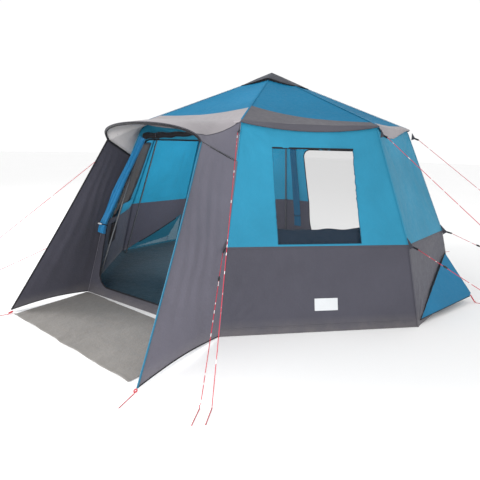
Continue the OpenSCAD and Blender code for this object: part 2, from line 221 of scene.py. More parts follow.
MAT = {
    "blue": fabric("blue_polyester", (0.020, 0.222, 0.360), 0.62, 0.05),
    # the roof's blue is the wall blue darkened: painted shade, so that the roof reads darker than the walls
    "roof_blue_painted_shade": fabric("roof_polyester_painted_shade", (0.006, 0.165, 0.315), 0.75, 0.0, crumple=0.25),
    "grey": fabric("grey_polyester", (0.062, 0.061, 0.080), 0.58, 0.12, dirt=0.35),
    "porch_grey": fabric("porch_polyester", (0.125, 0.120, 0.152), 0.58, 0.12, dirt=0.3),
    "band_dark": fabric("band_polyester", (0.078, 0.076, 0.092), 0.6, 0.08, crumple=0.2),
    "band_light": fabric("band_silver", (0.29, 0.27, 0.285), 0.55, 0.08, crumple=0.2),
    "lining": fabric("awning_lining", (0.62, 0.60, 0.60), 0.6, 0.05, crumple=0.3),
    "dark": fabric("dark_patch", (0.055, 0.055, 0.068), 0.6, 0.1),
    "cap": fabric("cap_polyester", (0.022, 0.027, 0.042), 0.62, 0.05, crumple=0.2),
    "floor": fabric("groundsheet", (0.042, 0.074, 0.092), 0.45, 0.05, pitch=0.003, crumple=0.6),
    "mat": fabric("porch_sheet", (0.215, 0.202, 0.190), 0.6, 0.1, pitch=0.003, crumple=0.7, dirt=0.2),
    "mesh": netting("netting", (0.02, 0.02, 0.024), 0.30),
    "mesh_thick": netting("doubled_netting", (0.028, 0.022, 0.021), 0.96),
    # nearly opaque, in the colour of the blue flap seen through the net in shadow: painted shade
    "vent_net_painted_shade": netting("vent_netting_painted_shade", (0.010, 0.075, 0.115), 0.93),
    "black": fabric("black_binding", (0.012, 0.012, 0.015), 0.65, 0.05, crumple=0.1),
    "piping": fabric("blue_piping", (0.014, 0.125, 0.21), 0.5, 0.1, crumple=0.1),
    # the curtain's blue, darkened: painted shade for a curtain lying in shadow behind the net
    "curtain": fabric("curtain_painted_shade", (0.004, 0.028, 0.060), 0.6, 0.05, crumple=0.4),
    "leaf": fabric("door_polyester", (0.014, 0.185, 0.40), 0.5, 0.15, crumple=0.4),
    "flap_blue": fabric("flap_polyester", (0.010, 0.150, 0.290), 0.7, 0.03, crumple=0.25),
    # the door blue darkened: painted shade for the rear leaf inside the tent
    "rear_leaf_painted_shade": fabric("rear_door_painted_shade", (0.010, 0.095, 0.185), 0.6, 0.05, crumple=0.4),
    "red": fabric("red_webbing", (0.55, 0.012, 0.03), 0.6, 0.2, pitch=0.0015, crumple=0.1),
    "cord": flecked_cord("guy_cord", (0.52, 0.022, 0.05), (0.80, 0.72, 0.72)),
    "white": fabric("pale_tape", (0.62, 0.64, 0.66), 0.6, 0.1, crumple=0.1),
    "steel": solid("powder_coated_steel", (0.13, 0.135, 0.145), 0.42, 0.5),
    "plastic": solid("black_nylon", (0.02, 0.02, 0.023), 0.5),
    "red_plastic": solid("red_nylon", (0.5, 0.02, 0.035), 0.45),
    "peg": solid("painted_wire", (0.45, 0.02, 0.04), 0.4, 0.3),
}


# ---------------------------------------------------------------- mesh helpers
def add_mesh(name, points, faces, material, smooth=True):
    data = bpy.data.meshes.new(name)
    data.from_pydata([tuple(p) for p in points], [], faces)
    data.materials.append(MAT[material])
    if smooth:
        data.polygons.foreach_set("use_smooth", [True] * len(data.polygons))
    data.update()
    obj = bpy.data.objects.new(name, data)
    bpy.context.scene.collection.objects.link(obj)
    return obj


def on_ground_side(obj, slot, tall=TALL):
    """Rides on the ground side, with a mesh of its own."""
    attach(obj, GROUND)
    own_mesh(obj)
    return obj


def on_roof_side(obj, slot):
    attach(obj, ROOF)
    return obj


def mesh_area(obj):
    return sum(p.area for p in obj.data.polygons)


def grid_faces(rows, columns, skip=lambda r, c: False):
    """Quads of a grid of rows x columns points, counter-clockwise seen from its outside."""
    faces = []
    for r in range(rows - 1):
        for c in range(columns - 1):
            if not skip(r, c):
                k = r * columns + c
                faces.append((k, k + 1, k + columns + 1, k + columns))
    return faces


def drop_loose(points, faces):
    """Leaves out the points that no face uses."""
    used = sorted({k for f in faces for k in f})
    place = {k: n for n, k in enumerate(used)}
    return [points[k] for k in used], [tuple(place[k] for k in f) for f in faces]


def cloth(name, rows, columns, place, material, flip=False):
    """A four-sided cloth: place(u, v) gives its points, u along a row and v from row to row."""
    points = [place(c / columns, r / rows) for r in range(rows + 1) for c in range(columns + 1)]
    faces = grid_faces(rows + 1, columns + 1)
    if flip:
        faces = [tuple(reversed(f)) for f in faces]
    return add_mesh(name, points, faces, material), points


def round_faces(rows, around):
    """Quads between rings of points that close on themselves."""
    return [(r * around + c, r * around + (c + 1) % around, (r + 1) * around + (c + 1) % around, (r + 1) * around + c)
            for r in range(rows) for c in range(around)]


def circle(middle, a, b, count):
    """Points round a middle, on the ellipse with half axes a and b."""
    turns = [2 * math.pi * k / count for k in range(count)]
    return [middle + a * math.cos(t) + b * math.sin(t) for t in turns]


def eased(p0, p1, p2, p3, q):
    """Smooth curve from p1 to p2 that also heeds the points before and after."""
    return 0.5 * (2 * p1 + (p2 - p0) * q + (2 * p0 - 5 * p1 + 4 * p2 - p3) * q**2
                  + (3 * p1 - p0 - 3 * p2 + p3) * q**3)


def hump(x):
    """0 at both ends of 0..1, and 1 in the middle."""
    return math.sin(math.pi * x)


def noise_at(x, y, z):
    return noise.noise(Vector((x, y, z)))


def apply_modifier(obj, kind, **settings):
    modifier = obj.modifiers.new(kind.lower(), kind)
    for name, value in settings.items():
        setattr(modifier, name, value)
    bpy.context.view_layer.objects.active = obj
    bpy.ops.object.modifier_apply(modifier=modifier.name)


def stand_for(obj, node, first=True):
    """Hides the CAD node that a piece replaces, for the first piece; the others of its kind come with it."""
    if first:
        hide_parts(node)


def tube(name, path, radius, material, sides=10, closed=False):
    """Round tube along a path of points."""
    path = [Vector(p) for p in path]
    count = len(path)
    points, faces = [], []
    normal = None
    for k, p in enumerate(path):
        ahead = path[(k + 1) % count] if closed or k < count - 1 else p
        behind = path[k - 1] if closed or k else p
        d = (ahead - behind).normalized()
        if normal is None:
            normal = d.orthogonal().normalized()
        normal = (normal - d * normal.dot(d)).normalized()
        side = d.cross(normal)
        r = radius(k / max(1, count - 1)) if callable(radius) else radius
        for j in range(sides):
            a = 2 * math.pi * j / sides
            points.append(p + (normal * math.cos(a) + side * math.sin(a)) * r)
    for k in range(count if closed else count - 1):
        for j in range(sides):
            a, b = k * sides, ((k + 1) % count) * sides
            faces.append((a + j, a + (j + 1) % sides, b + (j + 1) % sides, b + j))
    if not closed:
        faces.append(tuple(range(sides - 1, -1, -1)))
        faces.append(tuple(range((count - 1) * sides, count * sides)))
    return add_mesh(name, points, faces, material)


def ribbon(name, path, normals, width, thick, material, closed=False):
    """Flat tape along a path, lying square to the normals, with its middle on the path."""
    path = [Vector(p) for p in path]
    count = len(path)
    points, faces = [], []
    for k, p in enumerate(path):
        ahead = path[(k + 1) % count] if closed or k < count - 1 else p
        behind = path[k - 1] if closed or k else p
        d = (ahead - behind).normalized()
        n = Vector(normals[k]) if isinstance(normals, list) else Vector(normals)
        side = d.cross(n).normalized()
        n = side.cross(d)
        for s, h in ((-1, 0), (-0.8, 1), (0.8, 1), (1, 0)):
            points.append(p + side * s * width / 2 + n * h * thick)
    for k in range(count if closed else count - 1):
        a, b = k * 4, ((k + 1) % count) * 4
        for j in range(4):
            faces.append((a + j, b + j, b + (j + 1) % 4, a + (j + 1) % 4))
    if not closed:
        faces.append((0, 1, 2, 3))
        faces.append(tuple((count - 1) * 4 + j for j in (3, 2, 1, 0)))
    return add_mesh(name, points, faces, material, smooth=False)


def spread(low, high, step):
    """Evenly spaced values from low to high, at most step apart."""
    n = max(1, math.ceil((high - low) / step))
    return [low + (high - low) * k / n for k in range(n + 1)]


def smooth_step(x):
    x = min(1.0, max(0.0, x))
    return x * x * (3 - 2 * x)


def join(name, objects):
    """Joins meshes that share their look and their place into one piece."""
    bpy.ops.object.select_all(action="DESELECT")
    for o in objects:
        o.select_set(True)
    bpy.context.view_layer.objects.active = objects[0]
    bpy.ops.object.join()
    objects[0].name = name
    return objects[0]


# ---------------------------------------------------------------- the octagon
def corner(i):
    return Vector((*RING[i % 8], 0))


def outward(i):
    return corner(i).normalized()


def wall_ratio(z):
    if z < KNEE_Z:
        return 1 + (KNEE_R - 1) * z / KNEE_Z
    return KNEE_R + (EAVE_R - KNEE_R) * (z - KNEE_Z) / (EAVE_Z - KNEE_Z)


def ring_point(i, ratio, z):
    p = corner(i) * ratio
    p.z = z
    return p


def corner_at(i, z, proud=1.0):
    return ring_point(i, wall_ratio(z) * proud, z)


class Wall:
    """One flat stretch of a side: x along it, y up its slope, and the normal outwards."""

    def __init__(self, i, upper):
        low, high = ((KNEE_R, KNEE_Z), (EAVE_R, EAVE_Z)) if upper else ((1.0, 0.0), (KNEE_R, KNEE_Z))
        a, b = ring_point(i, *low), ring_point(i + 1, *low)
        c, d = ring_point(i, *high), ring_point(i + 1, *high)
        self.middle = (a + b) / 2
        self.x = (b - a).normalized()
        rise = (c + d) / 2 - self.middle
        self.height = (rise - self.x * rise.dot(self.x)).length
        self.y = (rise - self.x * rise.dot(self.x)).normalized()
        self.normal = self.x.cross(self.y)
        self.shift = rise.dot(self.x)
        self.half_low = (b - a).length / 2
        self.half_high = (d - c).length / 2

    def half(self, y):
        return self.half_low + (self.half_high - self.half_low) * y / self.height

    def edges(self, y):
        drift = self.shift * y / self.height
        return drift - self.half(y), drift + self.half(y)

    def at(self, x, y, out=0.0):
        return self.middle + self.x * x + self.y * y + self.normal * out


UPPER = [Wall(i, True) for i in range(8)]
LOWER = [Wall(i, False) for i in range(8)]


# ---------------------------------------------------------------- openings in the walls
WINDOW_HALF = 0.36
WINDOW_LOW, WINDOW_HIGH = 0.015, 0.84
SILL = 0.09
DOOR_ROUND, HEAD_ROUND = 0.16, 0.12
VENT_X, VENT_FOOT, VENT_TOP = 0.47, 0.04, 0.45
DOORS = {FRONT: (0.73, 0.56, 0.885), REAR: (0.50, 0.47, 0.82)}
DOOR_SHIFT = {FRONT: 0.0, REAR: -0.10}


def door_low_half(i, y):
    half = DOORS[i][0]
    up = y - SILL
    high = DOOR_ROUND if i == FRONT else 2.1 * DOOR_ROUND
    if up >= high:
        return half
    return half - DOOR_ROUND + DOOR_ROUND * math.sqrt(max(0, 1 - (1 - up / high) ** 2))


def door_high_half(i, y):
    half, top_half, top = DOORS[i]
    bend = top - HEAD_ROUND
    if y <= bend:
        return half + (top_half - half) * max(0, y) / bend
    return top_half - HEAD_ROUND + math.sqrt(max(0, HEAD_ROUND**2 - (y - bend) ** 2))


def wall_of(i, upper):
    return (UPPER if upper else LOWER)[i]


def opening(i, upper):
    """(low, high, left edge at y, right edge at y) of the opening in a wall, or None."""
    if i in DOORS:
        shift, half = DOOR_SHIFT[i], door_high_half if upper else door_low_half
        low, high = (0.0, DOORS[i][2]) if upper else (SILL, LOWER[i].height)
        return low, high, lambda y: shift - half(i, y), lambda y: shift + half(i, y)
    if upper and i % 2:
        return WINDOW_LOW, WINDOW_HIGH, lambda y: -WINDOW_HALF, lambda y: WINDOW_HALF
    if upper or i % 2:
        return None

    def slope(y):
        return -VENT_X + 2 * VENT_X * (y - VENT_FOOT) / (VENT_TOP - VENT_FOOT)

    if i == RIGHT:
        return VENT_FOOT, VENT_TOP, slope, lambda y: VENT_X
    return VENT_FOOT, VENT_TOP, lambda y: -VENT_X, lambda y: -slope(y)


def wall_relief(i, upper, x, y, puckers=True):
    """How far the cloth stands off the flat wall: sag between the poles, tension folds and gathers."""
    wall = wall_of(i, upper)
    left, right = wall.edges(y)
    u = (x - left) / (right - left)
    v = y / wall.height
    held = smooth_step(min(u, 1 - u) * (right - left) / 0.10) * smooth_step(min(v, 1 - v) * wall.height / 0.07)
    seed = i * 7.3 + (3.1 if upper else 0)
    sag = -0.016 * hump(u) * hump(v)
    broad = 0.007 * noise_at(x * 2.6 + seed, y * 2.0, seed)
    # folds that run out of the corners, along the pull of the cloth
    pull = 0.0
    for cx, cy in ((0, 0), (1, 0), (0, 1), (1, 1)):
        dx, dy = x - (right if cx else left), y - cy * wall.height
        fan = math.sin(math.atan2(dy, dx) * 19 + seed + 5 * noise_at(dx, dy, seed))
        pull += 0.0035 * math.exp(-math.hypot(dx, dy) / 0.34) * fan
    upright = 0.0028 * noise_at(x * 15 + seed, y * 1.6, 2.0)
    relief = sag + broad + pull + upright
    gap = abs(x) - WINDOW_HALF
    if puckers and upper and i % 2 and gap > -0.01:
        near = math.exp(-max(0, gap) / 0.07)
        near *= smooth_step((y + 0.04) / 0.1) * smooth_step((WINDOW_HIGH + 0.12 - y) / 0.1)
        relief += 0.013 * near * noise_at(x * 7, y * 42 + 5 * noise_at(x * 9, y * 9, 1), seed)
    return relief * held


def wall_rows(i, upper):
    wall = wall_of(i, upper)
    hole = opening(i, upper)
    if not hole:
        return spread(0, wall.height, 0.022)
    low, high = hole[0], hole[1]
    rows = spread(0, low, 0.02) if low > 0 else [0]
    inner = spread(low, high, 0.018)
    if i in DOORS:
        inner = sorted(set(inner + [low + (inner[8] - low) * (k / 12) ** 2 for k in range(12)]
                           + [high - (high - inner[-9]) * (k / 12) ** 2 for k in range(12)]))
    rows += inner[1:]
    if high < wall.height - 0.001:
        rows += spread(high, wall.height, 0.02)[1:]
    return rows


def column_counts(i):
    """How many columns a wall with an opening has on each side of it, and across it."""
    if i in (RIGHT, LEFT):
        return 16, 32
    return (12, 56) if i == FRONT else (20, 36)


def wall_columns(i, upper, y):
    left, right = wall_of(i, upper).edges(y)
    hole = opening(i, upper)
    if not hole:
        n = 72 if i % 4 != 2 else 48
        return [left + (right - left) * k / n for k in range(n + 1)]
    inside = min(max(y, hole[0]), hole[1])
    a, b = hole[2](inside), hole[3](inside)
    b = max(b, a + 0.0005)
    n_side, n_mid = column_counts(i)
    return ([left + (a - left) * k / n_side for k in range(n_side)]
            + [a + (b - a) * k / n_mid for k in range(n_mid)]
            + [b + (right - b) * k / n_side for k in range(n_side + 1)])


def make_wall(i, upper):
    wall = wall_of(i, upper)
    rows = wall_rows(i, upper)
    hole = opening(i, upper)
    table = [wall_columns(i, upper, y) for y in rows]
    count = len(table[0])
    flat = [wall.at(x, y) for y, xs in zip(rows, table) for x in xs]
    sides = column_counts(i)[0]

    def skip(r, c):
        middle = (rows[r] + rows[r + 1]) / 2
        return bool(hole) and hole[0] < middle < hole[1] and sides <= c < count - 1 - sides

    faces = grid_faces(len(rows), count, skip)
    points = [wall.at(x, y, wall_relief(i, upper, x, y)) for y, xs in zip(rows, table) for x in xs]
    area = 0.0
    for f in faces:
        a, b, c, d = (flat[k] for k in f)
        area += ((b - a).cross(c - a).length + (c - a).cross(d - a).length) / 2
    points, faces = drop_loose(points, faces)
    level = "upper" if upper else "lower"
    obj = add_mesh(f"{level}_side_{SIDES[i]}", points, faces, "blue" if upper else "grey")
    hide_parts(f"{level}_wall_{SIDES[i]}")
    on_ground_side(obj, "blue_fabric" if upper else "grey_fabric")
    width = 2 * max(wall.half_low, wall.half_high)
    height = min(wall.height, area / (0.31 * width))


def opening_outline(i, upper):
    """The edge of an opening as local points, up the left side and down the right one."""
    hole = opening(i, upper)
    rows = [y for y in wall_rows(i, upper) if hole[0] <= y <= hole[1]]
    return [(hole[2](y), y) for y in rows] + [(hole[3](y), y) for y in reversed(rows)]


def outline_path(i, upper, out):
    wall = wall_of(i, upper)
    return [wall.at(x, y, wall_relief(i, upper, x, y) + out) for x, y in opening_outline(i, upper)]


def make_binding():
    """Bound edges and zip tapes round the windows, doors and vents."""
    for i in WINDOW_SIDES:
        path, normal = outline_path(i, True, -0.0025), UPPER[i].normal
        sides = ribbon(f"window_binding_{SIDES[i]}", path, normal, 0.006, 0.004, "piping", closed=True)
        on_ground_side(sides, "blue_fabric")
        half = len(path) // 2
        head = [path[half - 1].lerp(path[half], k / 30) + normal * 0.003 for k in range(31)]
        on_ground_side(ribbon(f"window_head_{SIDES[i]}", head, normal, 0.015, 0.004, "black"), "dark_fabric")
    for i in DOORS:
        low = outline_path(i, False, -0.002)
        half = len(low) // 2
        path = low[:half] + outline_path(i, True, -0.002) + low[half:]
        normals = [wall_of(i, p.z > KNEE_Z).normal for p in path]
        tape = ribbon(f"door_zip_{SIDES[i]}", path, normals, 0.014, 0.004, "black", closed=True)
        on_ground_side(tape, "dark_fabric")
    for i in (RIGHT, LEFT):
        tape = ribbon(f"vent_binding_{SIDES[i]}", outline_path(i, False, -0.002), LOWER[i].normal,
                      0.014, 0.003, "black", closed=True)
        on_ground_side(tape, "dark_fabric")


def make_seams():
    """Felled seams down every corner, along the knee and round the skirt."""
    for i in range(8):
        zs = spread(0.0, KNEE_Z, 0.05)[:-1] + spread(KNEE_Z, EAVE_Z - 0.02, 0.05)
        path = [corner_at(i, z, 1.0006) for z in zs]
        low = [p for p in path if p.z <= KNEE_Z]
        high = [p for p in path if p.z >= KNEE_Z]
        on_ground_side(ribbon(f"corner_seam_low_{i + 1}", low, outward(i), 0.018, 0.0025, "grey"), "grey_fabric")
        on_ground_side(ribbon(f"corner_seam_high_{i + 1}", high, outward(i), 0.018, 0.0025, "blue"), "blue_fabric")
    strips = []
    for i in range(8):
        wall = LOWER[i]
        for k, (y, width) in enumerate(((wall.height - 0.012, 0.012), (0.055, 0.010))):
            left, right = wall.edges(y)
            if y < SILL or i not in DOORS:
                spans = [(left, right)]
            else:
                half, shift = door_low_half(i, y), DOOR_SHIFT[i]
                spans = [(left, shift - half), (shift + half, right)]
            for a, b in spans:
                path = [wall.at(x, y, wall_relief(i, False, x, y) + 0.0012) for x in spread(a, b, 0.03)]
                strips.append(ribbon(f"strip_{i}_{k}_{a:.2f}", path, wall.normal, width, 0.002, "grey"))
    on_ground_side(join("felled_seams", strips), "grey_fabric")


# ---------------------------------------------------------------- floor and mat
def make_floor():
    """Bathtub groundsheet with soft creases, turned up a little along the walls."""
    points = []
    rings, per_side = 34, 14
    for r in range(rings + 1):
        share = r / rings * 0.9945
        slack = smooth_step((1 - share) / 0.1)
        for i in range(8):
            for k in range(per_side):
                p = corner(i).lerp(corner(i + 1), k / per_side) * share
                crease = 0.006 * max(0, noise_at(p.x * 2.4, p.y * 2.4, 3)) * slack
                fold = 0.004 * max(0, noise_at(p.x * 9, p.y * 3, 5)) * slack
                p.z = 0.0045 + crease + fold + 0.03 * smooth_step((share - 0.965) / 0.03)
                points.append(p)
    around = 8 * per_side
    inner = [(c, around + (c + 1) % around, around + c) for c in range(around)]
    obj = add_mesh("groundsheet", points, inner + round_faces(rings, around)[around:], "floor")
    apply_modifier(obj, "WELD", merge_threshold=0.0004)
    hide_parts("floor")
    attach(obj, GROUND)


MAT_NEAR = (Vector((-0.850, -1.858, 0)), Vector((0.850, -1.935, 0)))
MAT_FAR = (Vector((-0.770, -2.625, 0)), Vector((0.900, -2.745, 0)))


def mat_point(u, v):
    p = MAT_NEAR[0].lerp(MAT_NEAR[1], u).lerp(MAT_FAR[0].lerp(MAT_FAR[1], u), v)
    pucker = 0.006 * math.exp(-(1 - v) / 0.12) * max(0, math.sin(u * 34 + 3 * noise_at(u * 4, 0, 0)))
    swell = 0.010 * max(0, noise_at(p.x * 2.2, p.y * 2.2, 9))
    crease = 0.006 * max(0, noise_at(p.x * 10 + p.y * 4, p.y * 3 - p.x * 2, 4)) ** 1.5
    p.z = 0.002 + pucker + swell + crease
    p.y += 0.008 * noise_at(u * 7, v, 2) * v
    return p


def make_mat():
    """Loose porch mat, puckered along its edges."""
    columns = 90
    obj, points = cloth("porch_sheet", 46, columns, mat_point, "mat")
    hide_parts("porch_mat")
    min(mesh_area(obj), 1.70 * 0.90)
    hem = ribbon("mat_hem", [p + UP * 0.001 for p in points[-columns - 1:]], UP, 0.02, 0.002, "mat")
    for piece in (obj, hem):
        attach(piece, GROUND)


# ---------------------------------------------------------------- roof
def roof_point(i, u, f, out=0.0):
    """Point on roof panel i: u along the eave, f up the slope."""
    ratio = ROOF_R + (CROWN_R - ROOF_R) * f
    z = ROOF_Z + (CROWN_Z - ROOF_Z) * f
    a, b = ring_point(i, ratio, z), ring_point(i + 1, ratio, z)
    p = a.lerp(b, u)
    sag = 0.0315 * (b - a).length * hump(u) * hump(min(1, 0.12 + f * 0.88))
    ripple = 0.004 * noise_at(p.x * 5, p.y * 5, i) * hump(u)
    pleat = 0.006 * math.exp(-(1 - f) / 0.10) * math.sin(u * 31 + i) * hump(u)
    p.z += ripple + pleat - sag + out
    return p


def make_roof():
    rows, per_side = 44, 22
    around = 8 * per_side
    points = [roof_point(c // per_side, (c % per_side) / per_side, r / rows)
              for r in range(rows + 1) for c in range(around)]
    # the roof cloth and its ridge seams take the darkened blue: painted shade
    obj = add_mesh("fly_roof", points, round_faces(rows, around), "roof_blue_painted_shade")
    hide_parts("roof_canopy")
    on_roof_side(obj, "blue_fabric")
    for i in range(8):
        path = [roof_point(i, 0, f, 0.002) for f in spread(0.02, 0.97, 0.03)]
        seam = ribbon(f"ridge_seam_{i + 1}", path, outward(i) * 0.4 + UP, 0.016, 0.002, "roof_blue_painted_shade")
        on_roof_side(seam, "blue_fabric")


# height of the grey band up the roof slope at its two ends, and its colour, side by side
BANDS = {
    FRONT: (0.13, 0.25, "band_light"), FRONT_RIGHT: (0.29, 0.055, "band_dark"),
    RIGHT: (0.055, 0.055, "band_light"), REAR_RIGHT: (0.055, 0.22, "band_dark"),
    REAR: (0.22, 0.22, "band_light"), REAR_LEFT: (0.22, 0.055, "band_dark"),
    LEFT: (0.055, 0.055, "band_light"), FRONT_LEFT: (0.055, 0.13, "band_dark"),
}
HEM_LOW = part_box("roof_canopy")[0].z + 0.004
HEM_DROP = {FRONT: 0.055, RIGHT: 0.075, LEFT: 0.075}


def band_top(i, u):
    a, b, _ = BANDS[i]
    if a > 2 * b:
        return b + (a - b) * (1 - u) ** 1.3
    if b > 2 * a:
        return a + (b - a) * u ** 1.3
    return a + (b - a) * u


def hem_point(i, u, k):
    """The band below the eave: k runs from the eave fold down to the hem, which hangs in a shallow curve."""
    drop = HEM_DROP.get(i, 0.062) * hump(u) ** 0.8 + 0.006
    if i in (RIGHT, LEFT):
        drop = 0.006 + 0.10 * hump((u if i == LEFT else 1 - u) ** 1.9) ** 0.9
    z = max(HEM_LOW - 0.03, ROOF_Z - drop * k)
    out = 0.0115 * min(1, (ROOF_Z - z) / 0.072) + 0.004
    flutter = 0.004 * k * noise_at(u * 9, i, 1.0)
    p = ring_point(i, ROOF_R, z).lerp(ring_point(i + 1, ROOF_R, z), u)
    normal = LOWER[i].normal.copy()
    normal.z = 0
    return p + normal.normalized() * (out + flutter)


def make_bands():
    columns, up, down = 48, 9, 6
    for i in range(8):
        colour = BANDS[i][2]
        us = [c / columns for c in range(columns + 1)]
        points = [hem_point(i, u, 1 - r / down) for r in range(down) for u in us]
        points += [roof_point(i, u, band_top(i, u) * r / up, 0.0035) for r in range(up + 1) for u in us]
        obj = add_mesh(f"eave_band_{SIDES[i]}", points, grid_faces(down + up + 1, columns + 1), colour)
        on_roof_side(obj, "dark_fabric" if colour == "band_dark" else "light_fabric")
        length = (ring_point(i + 1, ROOF_R, 0) - ring_point(i, ROOF_R, 0)).length
        hem = tube(f"eave_hem_{SIDES[i]}", [hem_point(i, c / 60, 1.0) for c in range(61)], 0.0028,
                   "dark" if colour == "band_dark" else "band_light", 6)
        on_roof_side(hem, "dark_fabric")


# how far the cowl reaches over each ridge; over two of them it is short and lifted
CAP_REACH = (0.18, 0.115, 0.19, 0.205, 0.18, 0.115, 0.18, 0.165)


def cap_rim(place, inset=1.0):
    """Point on the cowl's rim; place counts corners from the first one."""
    i = int(math.floor(place)) % 8
    u = place - math.floor(place)
    ratio = (CAP_REACH[i] + (CAP_REACH[(i + 1) % 8] - CAP_REACH[i]) * (0.4 * u + 0.6 * smooth_step(u))) * inset
    lift_a, lift_b = (0.026 if k % 4 == 1 else 0.004 for k in (i, i + 1))
    p = ring_point(i, ratio, 0).lerp(ring_point(i + 1, ratio, 0), u)
    share = (ROOF_R - ratio) / (ROOF_R - CROWN_R)
    p.z = ROOF_Z + (CROWN_Z - ROOF_Z) * share + lift_a + (lift_b - lift_a) * smooth_step(u)
    p.z += 0.004 * hump(u)
    return p


def make_cap():
    apex = Vector((0, 0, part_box("vent_cap")[1].z - 0.001))
    around, rows = 96, 16
    points = []
    for r in range(rows + 1):
        v = r / rows
        for c in range(around):
            p = cap_rim(8 * c / around).lerp(apex, v)
            p.z += 0.003 * hump(v) + 0.002 * noise_at(c * 0.3, v * 3, 0) * (1 - v)
            points.append(p)
    obj = add_mesh("vent_cowl", points, round_faces(rows, around), "cap")
    apply_modifier(obj, "WELD", merge_threshold=0.0005)
    apply_modifier(obj, "SOLIDIFY", thickness=0.003)
    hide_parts("vent_cap")
    on_roof_side(obj, "dark_fabric")
    rim = [cap_rim(8 * c / 192) - UP * 0.001 for c in range(192)]
    on_roof_side(tube("cowl_piping", rim, 0.005, "black", 8, closed=True), "dark_fabric")
    high = [cap_rim(8 * c / around, 0.9) for c in range(around)]
    net = [p - UP * 0.034 for p in high] + high
    on_roof_side(add_mesh("cowl_netting", net, round_faces(1, around), "black"), "mesh_fabric")


# ---------------------------------------------------------------- awning and porch
TIP = Vector((0.585, -1.760, 1.490))
HOOP_END_Z = 1.345
AWNING_RISE, AWNING_REACH = 0.145, 0.150


def hoop_end(s):
    p = corner_at(FRONT + 1, HOOP_END_Z)
    return Vector((s * (p.x + 0.002), p.y - 0.004, HOOP_END_Z))


def hoop(t):
    """The awning's pole: t from 0 at the left wall to 1 at the right wall."""
    side = 0.20
    if t < side:
        return hoop_end(-1).lerp(Vector((-TIP.x, TIP.y, TIP.z)), t / side)
    if t > 1 - side:
        return hoop_end(1).lerp(TIP, (1 - t) / side)
    a = math.pi * (t - side) / (1 - 2 * side)
    return Vector((-TIP.x * math.cos(a), TIP.y - AWNING_REACH * math.sin(a),
                   TIP.z + AWNING_RISE * max(0.0, math.sin(a)) ** 0.75))


def awning_point(t, v, out=0.0):
    """v from the hoop at 0 back to the eave at 1."""
    edge = smooth_step((abs(2 * t - 1) - 0.8) / 0.2)
    back = Vector((-0.615 + 1.230 * t, -1.336 + 0.026 * edge, 1.676 - 0.012 * edge))
    p = hoop(t).lerp(back, v)
    p.z += 0.020 * hump(v) * hump(t)
    p.z += 0.004 * noise_at(p.x * 6, p.y * 5, 7) * hump(v)
    p.z += 0.005 * math.sin(t * 60) * math.exp(-v / 0.15) * hump(t) * v
    return p + UP * out


SIDE_SHARE = 0.24  # share of the hoop that the grey side panels take at the front


def awning_panel(name, which, material):
    """One of three panels: the silver top, and a grey side that runs from the arch's end to the eave's corner."""
    def place(u, v):
        split = SIDE_SHARE * (1 - v) + 0.012
        low, high = {-1: (0.0, split), 0: (split, 1 - split), 1: (1 - split, 1.0)}[which]
        return awning_point(low + (high - low) * u, v, 0.004)

    obj = cloth(name, 20, 26 if which else 70, place, material)[0]
    on_roof_side(obj, "grey_fabric" if which else "light_fabric")
    return obj


def make_awning():
    top = awning_panel("awning_top", 0, "band_light")
    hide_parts("awning")
    area = mesh_area(top)
    for which, side in ((-1, "left"), (1, "right")):
        grey = awning_panel(f"awning_side_{side}", which, "porch_grey")
        area = mesh_area(grey)
    lining = cloth("awning_lining", 18, 96, awning_point, "lining")[0]
    on_roof_side(lining, "light_fabric")
    area = mesh_area(lining)
    middle = Vector((0, -1.62, 1.30))
    pole = [hoop(k / 120) for k in range(121)]
    sleeve = tube("pole_sleeve_cover", [p + (middle - p).normalized() * 0.011 for p in pole], 0.0095, "black", 10)
    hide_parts("awning_pole")
    on_roof_side(sleeve, "pole_sleeve")
    edge = tube("sleeve_piping", [p + Vector((0, -0.001, 0.005)) for p in pole], 0.0035, "dark", 6)
    on_roof_side(edge, "dark_fabric")
    for s in (-1, 1):
        seam = []
        for v in (k / 30 for k in range(31)):
            t = SIDE_SHARE * (1 - v) + 0.012
            seam.append(awning_point(t if s < 0 else 1 - t, v, 0.0055))
        on_roof_side(tube(f"awning_seam_{s + 2}", seam, 0.0028, "dark", 6), "dark_fabric")


def porch_foot(s):
    low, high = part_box("porch_wall_right" if s > 0 else "porch_wall_left")
    return Vector((high.x if s > 0 else -low.x, low.y, 0.012))


def porch_point(s, a, b):
    """a from the wall out to the free edge, b from the ground up to the hoop."""
    inner = corner_at(1, 0.004 + (HOOP_END_Z - 0.004) * b, 1.0012)
    p = inner.lerp(porch_foot(s).lerp(TIP, b), a)
    hold = hump(a) * hump(min(1, b * 0.96 + 0.02))
    fold = noise_at(a * 2.2 + b * 2.0 + s, b * 1.1 - a * 1.2, 3)
    run = math.sin((a * 1.1 - b * 0.35) * 26 + 4 * noise_at(a * 2, b * 3, s))
    p.x += hold * (0.014 * fold + 0.0035 * run - 0.035)
    p.z += 0.026 * hump(a) * (1 - b) ** 6
    p.y += 0.012 * hump(b) * a
    return Vector((s * p.x, p.y, p.z))


